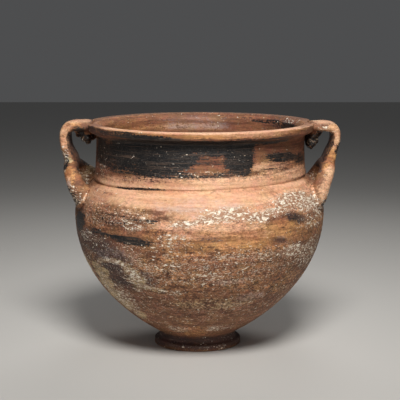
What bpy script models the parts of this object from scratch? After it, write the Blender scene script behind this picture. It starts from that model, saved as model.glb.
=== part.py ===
"""Column krater: a wheel-thrown clay mixing bowl with two strap-and-loop handles.

The origin is on the surface that the pot stands on, below its middle.
+Z is up and the handles lie along X. All lengths are in metres.
Body, foot and handles are one fired piece, so they end up as one object.
"""

import math

import bmesh
import bpy
from mathutils import Matrix, Vector

NAME = "column_krater"

# Body. Heights are above the standing surface and radii are to the outside.
HEIGHT = 0.3392                 # top of the lip
WALL = 0.008                    # thrown wall, from the bowl up to the mouth
FLOOR = 0.0105                  # clay in the middle of the bowl's floor

LIP_RADIUS = 0.1728
LIP_TOP_WIDTH = 0.0158          # flat top, from the outer edge to the mouth
LIP_FACE = 0.0112               # height of the outer face
LIP_FACE_SLANT = 0.0018         # how far that face draws in towards its lower edge
LIP_UNDERSIDE = 0.0062          # drop of the sloping underside
LIP_ROUNDING = 0.0016
MOUTH_SLOPE = 0.0085            # height of the slope from the flat top to the neck's inside

NECK_RADIUS = 0.1570
NECK_LENGTH = 0.0827            # from the top of the lip down to the shoulder
NECK_BASE = HEIGHT - NECK_LENGTH
NECK_FLARE = 0.0034             # what the neck gains in radius towards its base
GROOVE_HEIGHT = 0.0024          # groove that marks the neck off from the shoulder
GROOVE_DEPTH = 0.0010

BELLY_RADIUS = 0.1885
BELLY_DROP = 0.0525             # widest level below the neck's base
BELLY_HEIGHT = NECK_BASE - BELLY_DROP
SHOULDER_SPAN = 0.0885          # half width of the ellipse that the shoulder follows
BOWL_SPAN = 0.3600              # half width of the ellipse that the bowl follows

FOOT_HEIGHT = 0.0215            # where the bowl stands on the foot
FOOT_RADIUS = 0.0600
FOOT_WAIST_RADIUS = 0.0578      # narrowest part, above the flange
FLANGE_RADIUS = 0.0655
FLANGE_HEIGHT = 0.0092
FLANGE_ROUNDING = 0.0022
RESTING_WIDTH = 0.0115          # flat ring that the pot rests on
RECESS_DEPTH = 0.0070           # hollow underside inside the ring
RECESS_SLOPE = 0.0060           # width of the ring's inner slope

# Handles. Each has a plate level with the lip, a strap turned down from it,
# and a round loop that stands on the shoulder with one leg in front and one behind.
PLATE_BITE = 0.0100             # how far the plate runs in over the lip
PLATE_CORNER = 0.0115           # length of the turn from plate to strap
STRAP_BEND = 0.0230             # height above the arch where the strap draws in
STRAP_SINK = 0.0030             # how far the strap's end sinks past the arch's middle
STRAP_ROUNDING = 0.0045
LEG_SPREAD = 0.0960             # between the middles of a loop's two legs
LOOP_RISE = 0.0190              # middle of the loop's arch above the neck's base
LOOP_SET_BACK = 0.0182          # middle of the arch in from the strap's outer face
LOOP_SQUARENESS = 2.5           # 2 is a round arch, more is a squarer one
ROOT_FLARE = 0.0035             # what a leg gains in radius where it meets the shoulder
ROOT_DEPTH = 0.0140             # how far a leg runs on into the wall

LEFT_REACH = 0.2114             # strap's outer face from the pot's axis
LEFT_PLATE_THICKNESS = 0.0150
LEFT_PLATE_RISE = 0.0024        # plate's top above the lip's top
LEFT_LUMP_DROP = 0.0225         # lump's lower side below the plate's underside
LEFT_STRAP_WIDTH = 0.0640
LEFT_STRAP_THICKNESS = 0.0145
LEFT_STRAP_END_THICKNESS = 0.0210
LEFT_LOOP_DIAMETER = 0.0225
LEFT_LOOP_BULGE = 0.0024        # how far the legs stand out of a straight line
LEFT_FRONT_ROOT_DROP = 0.0215   # middle of a leg's root below the neck's base
LEFT_BACK_ROOT_DROP = 0.0092

RIGHT_REACH = 0.2096
RIGHT_PLATE_THICKNESS = 0.0138
RIGHT_PLATE_RISE = 0.0010
RIGHT_LUMP_DROP = 0.0275
RIGHT_STRAP_WIDTH = 0.0620
RIGHT_STRAP_THICKNESS = 0.0140
RIGHT_STRAP_END_THICKNESS = 0.0225
RIGHT_LOOP_DIAMETER = 0.0235
RIGHT_LOOP_BULGE = 0.0004
RIGHT_FRONT_ROOT_DROP = 0.0225
RIGHT_BACK_ROOT_DROP = 0.0195

# Lump of clay pressed into the corner under each plate, between lip and neck.
LUMP_REACH = 0.0230             # from the neck's face, along the plate
LUMP_SET_BACK = 0.0045          # its lower corner in from its upper one
LUMP_WIDTH = 0.0400
LUMP_ROUNDING = 0.0050

# The pot leans a little: its mouth is off to the right of its foot.
LEAN = 0.0049
LEAN_LEVEL = 0.2750             # height that stays where it is

# Fineness of the curved surfaces.
TURNS = 60
SHOULDER_STEPS = 7
BOWL_STEPS = 11
NECK_STEPS = 3
CORNER_STEPS = 6
STRAP_STEPS = 4
LOOP_STEPS = 15


def clear_scene():
    for thing in list(bpy.data.objects):
        bpy.data.objects.remove(thing, do_unlink=True)


def new_collection(name):
    collection = bpy.data.collections.new(name)
    bpy.context.scene.collection.children.link(collection)
    return collection


def smooth_step(share):
    share = min(max(share, 0.0), 1.0)
    return share * share * (3.0 - 2.0 * share)


# Profile of the body


def neck_radius(height):
    """Outside of the neck: upright above, flaring towards its base."""
    top = HEIGHT - LIP_FACE - LIP_UNDERSIDE
    down = (top - height) / (top - NECK_BASE)
    return NECK_RADIUS + NECK_FLARE * down ** 3


def arc_rise(span, end_radius, end_height):
    """Half height of an ellipse round the belly that passes through the given end."""
    centre = BELLY_RADIUS - span
    across = (end_radius - centre) / span
    return abs(end_height - BELLY_HEIGHT) / math.sqrt(1.0 - across * across)


def shoulder_radius(height):
    rise = arc_rise(SHOULDER_SPAN, NECK_RADIUS + NECK_FLARE, NECK_BASE)
    up = (height - BELLY_HEIGHT) / rise
    return BELLY_RADIUS - SHOULDER_SPAN + SHOULDER_SPAN * math.sqrt(1.0 - up * up)


def bowl_radius(height):
    rise = arc_rise(BOWL_SPAN, FOOT_RADIUS, FOOT_HEIGHT)
    down = (BELLY_HEIGHT - height) / rise
    return BELLY_RADIUS - BOWL_SPAN + BOWL_SPAN * math.sqrt(1.0 - down * down)


def body_radius(height):
    if height >= BELLY_HEIGHT:
        return shoulder_radius(height)
    return bowl_radius(height)


def spread(start, end, steps):
    """Values from start to end, both included."""
    return [start + (end - start) * step / steps for step in range(steps + 1)]


def wall_heights():
    """Heights down the shoulder and the bowl, closer together where the wall turns."""
    heights = spread(NECK_BASE, BELLY_HEIGHT, SHOULDER_STEPS)
    for share in spread(0.0, 1.0, BOWL_STEPS)[1:]:
        heights.append(BELLY_HEIGHT - (BELLY_HEIGHT - FOOT_HEIGHT) * share ** 0.9)
    return heights


def lip_profile():
    face_low = HEIGHT - LIP_FACE
    low_radius = LIP_RADIUS - LIP_FACE_SLANT
    neck_top = face_low - LIP_UNDERSIDE
    return [
        (LIP_RADIUS - LIP_ROUNDING, HEIGHT),
        (LIP_RADIUS, HEIGHT - LIP_ROUNDING),
        (low_radius, face_low + LIP_ROUNDING),
        (low_radius - LIP_ROUNDING, face_low),
        (NECK_RADIUS + LIP_ROUNDING, neck_top + LIP_ROUNDING),
        (NECK_RADIUS, neck_top),
    ]


def neck_profile():
    top = HEIGHT - LIP_FACE - LIP_UNDERSIDE
    base = NECK_BASE + GROOVE_HEIGHT
    points = [(neck_radius(height), height) for height in spread(top, base, NECK_STEPS)[1:]]
    points.append((NECK_RADIUS + NECK_FLARE - GROOVE_DEPTH, NECK_BASE + GROOVE_HEIGHT / 2))
    return points


def foot_profile():
    inner = FLANGE_RADIUS - FLANGE_ROUNDING - RESTING_WIDTH
    return [
        (FOOT_WAIST_RADIUS, FOOT_HEIGHT - (FOOT_RADIUS - FOOT_WAIST_RADIUS)),
        (FOOT_WAIST_RADIUS, FLANGE_HEIGHT + FLANGE_ROUNDING),
        (FLANGE_RADIUS - FLANGE_ROUNDING, FLANGE_HEIGHT),
        (FLANGE_RADIUS, FLANGE_HEIGHT - FLANGE_ROUNDING),
        (FLANGE_RADIUS, FLANGE_ROUNDING),
        (FLANGE_RADIUS - FLANGE_ROUNDING, 0.0),
        (inner, 0.0),
        (inner - RECESS_SLOPE, RECESS_DEPTH),
        (0.0, RECESS_DEPTH),
    ]


def outer_profile():
    points = [(0.0, HEIGHT)]
    points += lip_profile()
    points += neck_profile()
    points += [(body_radius(height), height) for height in wall_heights()]
    points += foot_profile()
    return points


def inward(points, distance):
    """The same line moved square to itself, towards the axis and up out of the clay."""
    moved = []
    for index, (radius, height) in enumerate(points):
        before = points[max(index - 1, 0)]
        after = points[min(index + 1, len(points) - 1)]
        along = Vector((after[0] - before[0], after[1] - before[1])).normalized()
        moved.append((radius + along.y * distance, height - along.x * distance))
    return moved


def hollow_profile():
    """The hollow from above the mouth down to the middle of the floor."""
    mouth = LIP_RADIUS - LIP_TOP_WIDTH
    over = HEIGHT + WALL
    neck = [(neck_radius(height) - WALL, height)
            for height in spread(HEIGHT - MOUTH_SLOPE, NECK_BASE + WALL, NECK_STEPS)]
    heights = wall_heights()
    wall = [(body_radius(height), height) for height in heights]
    inside = inward(wall, WALL)
    floor = RECESS_DEPTH + FLOOR
    below_neck = [point for point in inside if point[1] < NECK_BASE - WALL / 2]
    above_floor = [point for point in below_neck if point[1] > floor + WALL / 2]
    return [(0.0, over), (mouth, over), (mouth, HEIGHT)] + neck + above_floor + [(0.0, floor)]


def turned(name, profile, collection):
    """A solid turned round the axis, from a profile that runs down its outer side."""
    mesh = bpy.data.meshes.new(name)
    points = [(radius, 0.0, height) for radius, height in profile]
    edges = [(index, index + 1) for index in range(len(points) - 1)]
    mesh.from_pydata(points, edges, [])
    thing = bpy.data.objects.new(name, mesh)
    collection.objects.link(thing)
    screw = thing.modifiers.new("turn", "SCREW")
    screw.axis = "Z"
    screw.steps = TURNS
    screw.render_steps = TURNS
    screw.use_merge_vertices = True
    screw.merge_threshold = 0.00001
    return thing


# Handles


def smooth_turn(corner, start, end, steps):
    """Points of a smooth turn from start to end round a corner."""
    points = []
    for share in spread(0.0, 1.0, steps):
        keep = 1.0 - share
        points.append(start * keep ** 2 + corner * (2 * keep * share) + end * share ** 2)
    return points


def strap_outline(reach, rise, plate, thickness, end_thickness):
    """Side view of plate and strap: a line with a thickness, from the lip down to the loop."""
    plate_level = HEIGHT + rise - plate / 2
    corner = Vector((reach - thickness / 2, plate_level))
    end = Vector((reach - LOOP_SET_BACK, NECK_BASE + LOOP_RISE - STRAP_SINK))
    start = Vector((LIP_RADIUS - PLATE_BITE, plate_level))
    turn_start = corner - Vector((PLATE_CORNER, 0.0))
    turn_end = corner - Vector((0.0, PLATE_CORNER))
    bend = Vector((corner.x, NECK_BASE + LOOP_RISE + STRAP_BEND))
    line = [start] + smooth_turn(corner, turn_start, turn_end, CORNER_STEPS)
    line += smooth_turn(bend, turn_end, end, STRAP_STEPS)[1:]

    drop = turn_end.y - end.y
    outer = []
    inner = []
    for index, point in enumerate(line):
        before = line[max(index - 1, 0)]
        after = line[min(index + 1, len(line) - 1)]
        along = (after - before).normalized()
        square = Vector((-along.y, along.x))
        turned_share = smooth_step((point.x - turn_start.x) / PLATE_CORNER)
        width = plate + (thickness - plate) * turned_share
        width += (end_thickness - thickness) * smooth_step((turn_end.y - point.y) / drop)
        outer.append(point + square * width / 2)
        inner.append(point - square * width / 2)
    return outer + inner[::-1]


def lump_outline(rise, plate, drop):
    """Side view of the lump of clay under a plate."""
    plate_low = HEIGHT + rise - plate
    in_wall = NECK_RADIUS - WALL / 2
    reach = NECK_RADIUS + LUMP_REACH
    return [
        Vector((in_wall, plate_low + plate / 2)),
        Vector((reach, plate_low + plate / 2)),
        Vector((reach, plate_low)),
        Vector((reach - LUMP_SET_BACK, plate_low - drop + LUMP_SET_BACK)),
        Vector((in_wall, plate_low - drop)),
    ]


def loop_line(side, reach, bulge, front_drop, back_drop):
    """Middle line of a loop with its swelling, from inside the wall in front to inside it behind."""
    half = LEG_SPREAD / 2
    top = Vector((reach - LOOP_SET_BACK, NECK_BASE + LOOP_RISE))
    roots = []
    for drop in (front_drop, back_drop):
        height = NECK_BASE - drop
        across = math.sqrt(body_radius(height) ** 2 - half ** 2)
        roots.append(Vector((across, height)))
    power = 2.0 / LOOP_SQUARENESS
    line = []
    for angle in spread(0.0, math.pi, LOOP_STEPS):
        cosine = math.cos(angle)
        off_centre = -math.copysign(abs(cosine) ** power, cosine)
        raised = max(math.sin(angle), 0.0) ** power
        root = roots[0].lerp(roots[1], (off_centre + 1.0) / 2)
        point = root.lerp(top, raised)
        outward = point.x + bulge * 4.0 * raised * (1.0 - raised)
        place = Vector((side * outward, half * off_centre, point.y))
        line.append((place, ROOT_FLARE * (1.0 - raised) ** 2))
    first = line[0][0] + (line[0][0] - line[1][0]).normalized() * ROOT_DEPTH
    last = line[-1][0] + (line[-1][0] - line[-2][0]).normalized() * ROOT_DEPTH
    return [(first, ROOT_FLARE)] + line + [(last, ROOT_FLARE)]


def curve_to_cutter(thing, collection):
    """Turn a curve into a closed mesh that can be joined to the body."""
    bpy.context.view_layer.update()
    evaluated = thing.evaluated_get(bpy.context.evaluated_depsgraph_get())
    mesh = bpy.data.meshes.new_from_object(evaluated)
    mesh.transform(thing.matrix_world)
    name = thing.name
    bpy.data.objects.remove(thing, do_unlink=True)
    work = bmesh.new()
    work.from_mesh(mesh)
    bmesh.ops.remove_doubles(work, verts=work.verts, dist=0.00002)
    bmesh.ops.recalc_face_normals(work, faces=work.faces)
    work.to_mesh(mesh)
    work.free()
    result = bpy.data.objects.new(name, mesh)
    collection.objects.link(result)
    return result


def slab(name, outline, side, width, rounding, collection):
    """An outline seen from the front, as thick as width from front to back."""
    curve = bpy.data.curves.new(name, "CURVE")
    curve.dimensions = "2D"
    curve.fill_mode = "BOTH"
    curve.extrude = width / 2 - rounding
    curve.bevel_depth = rounding
    curve.bevel_resolution = 1
    curve.offset = -rounding
    spline = curve.splines.new("POLY")
    spline.points.add(len(outline) - 1)
    for point, place in zip(spline.points, outline):
        point.co = (side * place.x, place.y, 0.0, 1.0)
    spline.use_cyclic_u = True
    thing = bpy.data.objects.new(name, curve)
    thing.rotation_euler = (math.pi / 2, 0.0, 0.0)
    collection.objects.link(thing)
    return curve_to_cutter(thing, collection)


def rod(name, line, diameter, collection):
    """A round rod of clay along a line."""
    curve = bpy.data.curves.new(name, "CURVE")
    curve.dimensions = "3D"
    curve.bevel_depth = diameter / 2
    curve.bevel_resolution = 3
    curve.use_fill_caps = True
    spline = curve.splines.new("POLY")
    spline.points.add(len(line) - 1)
    for point, (place, swelling) in zip(spline.points, line):
        point.co = (place.x, place.y, place.z, 1.0)
        point.radius = 1.0 + swelling / curve.bevel_depth
    thing = bpy.data.objects.new(name, curve)
    collection.objects.link(thing)
    return curve_to_cutter(thing, collection)


def left_handle(collection):
    """Plate with strap, lump and loop of the left handle, as solids to join to the body."""
    outline = strap_outline(LEFT_REACH, LEFT_PLATE_RISE, LEFT_PLATE_THICKNESS,
                            LEFT_STRAP_THICKNESS, LEFT_STRAP_END_THICKNESS)
    lump = lump_outline(LEFT_PLATE_RISE, LEFT_PLATE_THICKNESS, LEFT_LUMP_DROP)
    line = loop_line(-1, LEFT_REACH, LEFT_LOOP_BULGE,
                     LEFT_FRONT_ROOT_DROP, LEFT_BACK_ROOT_DROP)
    return [
        slab("left_strap", outline, -1, LEFT_STRAP_WIDTH, STRAP_ROUNDING, collection),
        slab("left_lump", lump, -1, LUMP_WIDTH, LUMP_ROUNDING, collection),
        rod("left_loop", line, LEFT_LOOP_DIAMETER, collection),
    ]


def right_handle(collection):
    """The same for the right handle, which is a little stouter."""
    outline = strap_outline(RIGHT_REACH, RIGHT_PLATE_RISE, RIGHT_PLATE_THICKNESS,
                            RIGHT_STRAP_THICKNESS, RIGHT_STRAP_END_THICKNESS)
    lump = lump_outline(RIGHT_PLATE_RISE, RIGHT_PLATE_THICKNESS, RIGHT_LUMP_DROP)
    line = loop_line(1, RIGHT_REACH, RIGHT_LOOP_BULGE,
                     RIGHT_FRONT_ROOT_DROP, RIGHT_BACK_ROOT_DROP)
    return [
        slab("right_strap", outline, 1, RIGHT_STRAP_WIDTH, STRAP_ROUNDING, collection),
        slab("right_lump", lump, 1, LUMP_WIDTH, LUMP_ROUNDING, collection),
        rod("right_loop", line, RIGHT_LOOP_DIAMETER, collection),
    ]


# Putting it together


def fired_clay():
    material = bpy.data.materials.new("fired_clay")
    material.use_nodes = True
    shader = material.node_tree.nodes["Principled BSDF"]
    shader.inputs["Base Color"].default_value = (0.55, 0.27, 0.15, 1.0)
    shader.inputs["Roughness"].default_value = 0.62
    shader.inputs["Metallic"].default_value = 0.0
    return material


def add_boolean(thing, other, operation):
    other.hide_render = True
    other.display_type = "WIRE"
    step = thing.modifiers.new(other.name, "BOOLEAN")
    step.operation = operation
    step.solver = "EXACT"
    step.object = other


def leaning(thing, collection):
    """The finished form as one mesh, with the pot's lean put in."""
    bpy.context.view_layer.update()
    evaluated = thing.evaluated_get(bpy.context.evaluated_depsgraph_get())
    mesh = bpy.data.meshes.new_from_object(evaluated)
    lean = Matrix.Identity(4)
    lean[0][2] = LEAN / HEIGHT
    lean[0][3] = -LEAN_LEVEL * LEAN / HEIGHT
    mesh.transform(lean)
    mesh.shade_smooth()
    mesh.set_sharp_from_angle(angle=math.radians(35.0))
    mesh.materials.clear()
    mesh.materials.append(fired_clay())
    mesh.name = NAME
    result = bpy.data.objects.new(NAME, mesh)
    collection.objects.link(result)
    return result


def main():
    clear_scene()
    parts = new_collection(NAME)
    helpers = new_collection("helpers")

    body = turned("body", outer_profile(), helpers)
    for piece in left_handle(helpers) + right_handle(helpers):
        add_boolean(body, piece, "UNION")
    add_boolean(body, turned("hollow", hollow_profile(), helpers), "DIFFERENCE")
    leaning(body, parts)
    body.hide_render = True
    body.display_type = "WIRE"


main()
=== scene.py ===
import math

import bpy
import numpy as np
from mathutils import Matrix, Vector, kdtree, noise


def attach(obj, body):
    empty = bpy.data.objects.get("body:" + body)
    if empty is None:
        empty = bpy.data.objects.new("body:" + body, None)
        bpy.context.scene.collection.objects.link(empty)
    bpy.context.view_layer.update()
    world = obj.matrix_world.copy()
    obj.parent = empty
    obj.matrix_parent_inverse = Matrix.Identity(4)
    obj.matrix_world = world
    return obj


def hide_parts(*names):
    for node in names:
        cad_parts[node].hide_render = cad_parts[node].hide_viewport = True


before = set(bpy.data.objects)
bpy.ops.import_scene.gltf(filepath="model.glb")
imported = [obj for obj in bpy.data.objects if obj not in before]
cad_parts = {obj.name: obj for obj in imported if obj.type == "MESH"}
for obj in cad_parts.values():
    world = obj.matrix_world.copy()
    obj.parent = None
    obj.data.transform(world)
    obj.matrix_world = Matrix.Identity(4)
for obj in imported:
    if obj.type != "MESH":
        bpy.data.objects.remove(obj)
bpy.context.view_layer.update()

# Thrown body: lip, upright neck, swelling shoulder, bowl and turned ring foot.
# It is one wall of fired reddish clay about 8 mm thick, pulled up on the wheel, and
# the foot was turned from a second lump and luted on. Lengths are in metres.
POT_HEIGHT = 0.3392
WALL = 0.008
LIP_RADIUS = 0.1728
LIP_TOP_WIDTH = 0.0158
LIP_FACE = 0.0112
LIP_FACE_SLANT = 0.0018
LIP_UNDERSIDE = 0.0062
MOUTH_SLOPE = 0.0085
NECK_TOP = POT_HEIGHT - LIP_FACE - LIP_UNDERSIDE
NECK_RADIUS = 0.1570
NECK_FLARE = 0.0034
NECK_BASE = 0.2565
GROOVE_HALF_WIDTH = 0.0012
GROOVE_DEPTH = 0.0011
GROOVE_TILT = 0.0275            # the groove climbs towards the right handle
BELLY_RADIUS = 0.1885
BELLY_HEIGHT = 0.2040
SHOULDER_SPAN = 0.0885
BOWL_SPAN = 0.3600
FOOT_HEIGHT = 0.0215
FOOT_RADIUS = 0.0600
FOOT_WAIST_RADIUS = 0.0578
FLANGE_RADIUS = 0.0655
FLANGE_HEIGHT = 0.0092
RESTING_WIDTH = 0.0115
RECESS_DEPTH = 0.0070
RECESS_SLOPE = 0.0060
MIDDLE_RING = 0.0040            # last ring of points round the middle of the underside
FLOOR_LEVEL = 0.0175            # top of the floor inside
FLOOR_RINGS = (0.8, 0.6, 0.4, 0.22, 0.08)        # as shares of the lowest wall ring's radius
LEAST_DROP = 0.0020             # between two rings of the inside
LEAN = 0.0049 / POT_HEIGHT      # the mouth stands a little to the right of the foot
LEAN_LEVEL = 0.2750
UPRIGHT = 0.0060                # plain wall next to the lip, inside and outside
GROOVE_SHIFT = 0.0002           # the groove's middle above the neck's base
GROOVE_BAND = 0.0080            # half height of the finely divided wall round the groove
CLIMB_BAND = 0.0220             # how far above and below it the wall climbs with it
SOFT_RIDGE_SHIFT = 0.0038       # a soft ridge above the groove
SOFT_RIDGE_HALF_WIDTH = 0.0018
SOFT_RIDGE_HEIGHT = 0.0004
BOWL_END = FOOT_HEIGHT + 0.0040
WAIST_TOP = FOOT_HEIGHT - 0.0035
WAIST_BASE = FLANGE_HEIGHT + 0.0015
INSIDE_WALL_END = FOOT_HEIGHT + 0.0120
LIP_STEP = 0.0019               # distances between the points down each stretch of wall
NECK_STEP = 0.0026
GROOVE_STEP = 0.0009
BOWL_STEP = 0.0033
FOOT_STEP = 0.0040
INSIDE_STEP = 0.0075
COARSE_RIDGES = 760.0           # throwing ridges 8 mm apart, as radians for each metre
FINE_RIDGES = 1730.0            # and finer ones not quite 4 mm apart
OUTSIDE_RIDGE_HEIGHT = 0.00013
INSIDE_RIDGE_HEIGHT = 0.00035
OVAL_WOBBLE = 0.0005
CORNERED_WOBBLE = 0.0003
AROUND = 252                    # columns of the wheel-turned wall


def neck_radius(height):
    down = (NECK_TOP - height) / (NECK_TOP - NECK_BASE)
    return NECK_RADIUS + NECK_FLARE * np.clip(down, 0.0, 1.0) ** 3


def arc_rise(span, end_radius, end_height):
    across = (end_radius - BELLY_RADIUS + span) / span
    return abs(end_height - BELLY_HEIGHT) / math.sqrt(1.0 - across * across)


SHOULDER_RISE = arc_rise(SHOULDER_SPAN, NECK_RADIUS + NECK_FLARE, NECK_BASE)
BOWL_RISE = arc_rise(BOWL_SPAN, FOOT_RADIUS, FOOT_HEIGHT)


def wall_radius(height):
    """Outside of neck, shoulder and bowl at a height, without lip and foot."""
    height = np.asarray(height, dtype=float)
    up = np.clip((height - BELLY_HEIGHT) / SHOULDER_RISE, 0.0, 0.99)
    down = np.clip((BELLY_HEIGHT - height) / BOWL_RISE, 0.0, 0.99)
    shoulder = BELLY_RADIUS - SHOULDER_SPAN * (1.0 - np.sqrt(1.0 - up * up))
    bowl = BELLY_RADIUS - BOWL_SPAN * (1.0 - np.sqrt(1.0 - down * down))
    below_neck = np.where(height > BELLY_HEIGHT, shoulder, bowl)
    return np.where(height >= NECK_BASE, neck_radius(height), below_neck)


def wall_slope(height):
    """How fast the wall widens with height."""
    return float(wall_radius(height + 0.001) - wall_radius(height - 0.001)) / 0.002


def level_line(top, base, step):
    """Points down the wall between two heights, evenly spaced along it."""
    heights = np.linspace(top, base, 400)
    radii = wall_radius(heights)
    run = np.concatenate([[0.0], np.cumsum(np.hypot(np.diff(heights), np.diff(radii)))])
    count = int(round(run[-1] / step))
    stops = np.interp(np.linspace(0.0, run[-1], count + 1), run, heights)
    return [(float(wall_radius(height)), float(height)) for height in stops]


def rounded_line(corners, roundings, step):
    """A line through corners, each turned off by its own rounding."""
    points = [corners[0]]
    for index in range(1, len(corners) - 1):
        here = Vector(corners[index])
        back = Vector(corners[index - 1]) - here
        on = Vector(corners[index + 1]) - here
        cut = min(roundings[index - 1], back.length * 0.48, on.length * 0.48)
        start = here + back.normalized() * cut
        end = here + on.normalized() * cut
        for share in (0.0, 0.33, 0.67, 1.0):
            keep = 1.0 - share
            bend = start * keep ** 2 + here * (2 * keep * share) + end * share ** 2
            points.append((bend.x, bend.y))
    points.append(corners[-1])
    filled = [points[0]]
    for (x0, z0), (x1, z1) in zip(points, points[1:]):
        pieces = max(1, int(round(math.hypot(x1 - x0, z1 - z0) / step)))
        for piece in range(1, pieces + 1):
            share = piece / pieces
            filled.append((x0 + (x1 - x0) * share, z0 + (z1 - z0) * share))
    return filled


# Lip and foot have rounded corners, and the wall between them keeps its own curve.
face_low = POT_HEIGHT - LIP_FACE
mouth_radius = LIP_RADIUS - LIP_TOP_WIDTH
inner_neck = NECK_RADIUS - WALL
mouth_base = POT_HEIGHT - MOUTH_SLOPE
lip_corners = [
    (inner_neck, mouth_base - UPRIGHT),
    (inner_neck, mouth_base),
    (mouth_radius, POT_HEIGHT),
    (LIP_RADIUS, POT_HEIGHT),
    (LIP_RADIUS - LIP_FACE_SLANT, face_low),
    (NECK_RADIUS, NECK_TOP),
    (NECK_RADIUS, NECK_TOP - UPRIGHT),
]
lip_roundings = (0.003, 0.0026, 0.0022, 0.0024, 0.0022)
lip_line = rounded_line(lip_corners, lip_roundings, LIP_STEP)
groove_top = NECK_BASE + GROOVE_BAND
groove_base = NECK_BASE - GROOVE_BAND
neck_line = level_line(NECK_TOP - UPRIGHT, groove_top, NECK_STEP)[1:]
groove_line = level_line(groove_top, groove_base, GROOVE_STEP)[1:]
bowl_line = level_line(groove_base, BOWL_END, BOWL_STEP)[1:]
resting_inner = FLANGE_RADIUS - RESTING_WIDTH
foot_corners = [
    bowl_line[-1],
    (FOOT_RADIUS, FOOT_HEIGHT),
    (FOOT_WAIST_RADIUS, WAIST_TOP),
    (FOOT_WAIST_RADIUS, WAIST_BASE),
    (FLANGE_RADIUS, FLANGE_HEIGHT),
    (FLANGE_RADIUS, 0.0),
    (resting_inner, 0.0),
    (resting_inner - RECESS_SLOPE, RECESS_DEPTH),
    (MIDDLE_RING, RECESS_DEPTH),
]
foot_roundings = (0.003, 0.002, 0.003, 0.0024, 0.0022, 0.001, 0.002)
foot_line = rounded_line(foot_corners, foot_roundings, FOOT_STEP)
outer_line = lip_line + neck_line + groove_line + bowl_line + foot_line[1:]

inner_line = []
for radius, height in level_line(mouth_base - UPRIGHT, INSIDE_WALL_END, INSIDE_STEP):
    slope = wall_slope(height)
    normal = np.array([1.0, -slope]) / math.hypot(1.0, slope)
    inner_radius = float(radius - WALL * normal[0])
    inner_height = float(height - WALL * normal[1])
    if not inner_line or inner_height < inner_line[-1][1] - LEAST_DROP:
        inner_line.append((inner_radius, inner_height))
last_radius, last_height = inner_line[-1]
for share in FLOOR_RINGS:
    inner_line.append((last_radius * share, FLOOR_LEVEL + (last_height - FLOOR_LEVEL) * share ** 2.2))
inside_count = len(inner_line) - 1
profile = inner_line[::-1][:-1] + outer_line
rows = len(profile)

angles = np.linspace(0.0, 2.0 * math.pi, AROUND, endpoint=False)
radii = np.array([point[0] for point in profile])[:, None] * np.ones(AROUND)
heights = np.array([point[1] for point in profile])[:, None] * np.ones(AROUND)
outside = (np.arange(rows) >= inside_count)[:, None] * np.ones(AROUND)


def bell(value, middle, half_width):
    return np.exp(-((value - middle) / half_width) ** 2)


# The groove at the neck's base climbs to the right, and its rows climb with it.
sines = np.sin(angles)[None, :]
cosines = np.cos(angles)[None, :]
climb = GROOVE_TILT * sines * radii
heights = heights + outside * climb * bell(heights, NECK_BASE, CLIMB_BAND)
groove = bell(heights - climb, NECK_BASE + GROOVE_SHIFT, GROOVE_HALF_WIDTH)
soft_ridge = bell(heights - climb, NECK_BASE + SOFT_RIDGE_SHIFT, SOFT_RIDGE_HALF_WIDTH)
on_wall = outside * (radii > FOOT_RADIUS + 0.004) * (heights < NECK_TOP - 0.002)
radii = radii - outside * groove * GROOVE_DEPTH + outside * soft_ridge * SOFT_RIDGE_HEIGHT

# Finger ridges of the throwing, faint outside and plainer inside, and a slow wobble.
ridges = np.sin(heights * COARSE_RIDGES + 2.0 * np.sin(heights * 61.0) + 0.6 * sines)
ridges = ridges + 0.6 * np.sin(heights * FINE_RIDGES + 1.4 * np.sin(2.0 * angles)[None, :])
radii = radii + on_wall * ridges * OUTSIDE_RIDGE_HEIGHT + (1.0 - outside) * ridges * INSIDE_RIDGE_HEIGHT
wobble = OVAL_WOBBLE * np.sin(2.0 * angles + 0.7) + CORNERED_WOBBLE * np.sin(3.0 * angles + 2.1)
radii = radii + wobble[None, :] * np.clip(heights / 0.15, 0.0, 1.0)
grid = np.stack([radii * sines, -radii * cosines, heights], axis=2)

body_points = np.concatenate([
    grid.reshape(-1, 3),
    [[0.0, 0.0, FLOOR_LEVEL], [0.0, 0.0, RECESS_DEPTH]],
])


def ring_faces(rings, around, inward=False):
    """Faces between rings of points that all have the same number of points."""
    faces = []
    for ring in range(rings - 1):
        for step in range(around):
            here = ring * around + step
            beside = ring * around + (step + 1) % around
            corners = (here, beside, beside + around, here + around)
            faces.append(corners[:1] + corners[:0:-1] if inward else corners)
    return faces


body_faces = ring_faces(rows, AROUND)
floor_middle = rows * AROUND
last_row = (rows - 1) * AROUND
for column in range(AROUND):
    beside = (column + 1) % AROUND
    body_faces.append((floor_middle, beside, column))
    body_faces.append((floor_middle + 1, last_row + column, last_row + beside))


def clay_object(name, points, faces):
    mesh = bpy.data.meshes.new(name)
    mesh.from_pydata([tuple(point) for point in points], [], faces)
    mesh.validate()
    thing = bpy.data.objects.new(name, mesh)
    bpy.context.scene.collection.objects.link(thing)
    return thing


# Left handle: a slab of clay level with the lip, turned down into a strap that ends on
# a rolled loop standing on the shoulder, with a lump pressed in under the slab.
# All of it was joined to the pot with slip and smoothed by hand.
HANDLE_GRAIN = 0.0018          # size of the smallest form kept in a handle
SLAB_SQUARENESS = 3.6          # 2 is an oval section, more is squarer
SLAB_CORNERS = 44
LOOP_RISE = 0.0190
LOOP_SET_BACK = 0.0182
LEG_SPREAD = 0.0960
LEG_DEPTH = 0.0130             # how far a leg runs on into the wall
ROOT_FLARE = 0.0036            # what a leg gains in radius down to its root
LOOP_SQUARENESS = 2.5
STRAP_RINGS = 70
ARCH_STEPS = 60
LOOP_RINGS = 110
LOOP_CORNERS = 28
DAB_RINGS = 20
DAB_CORNERS = 28
KNEADING = 75.0                # finger marks about 13 mm across, as waves for each metre
FINE_KNEADING = 170.0          # and smaller ones of about 6 mm


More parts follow.
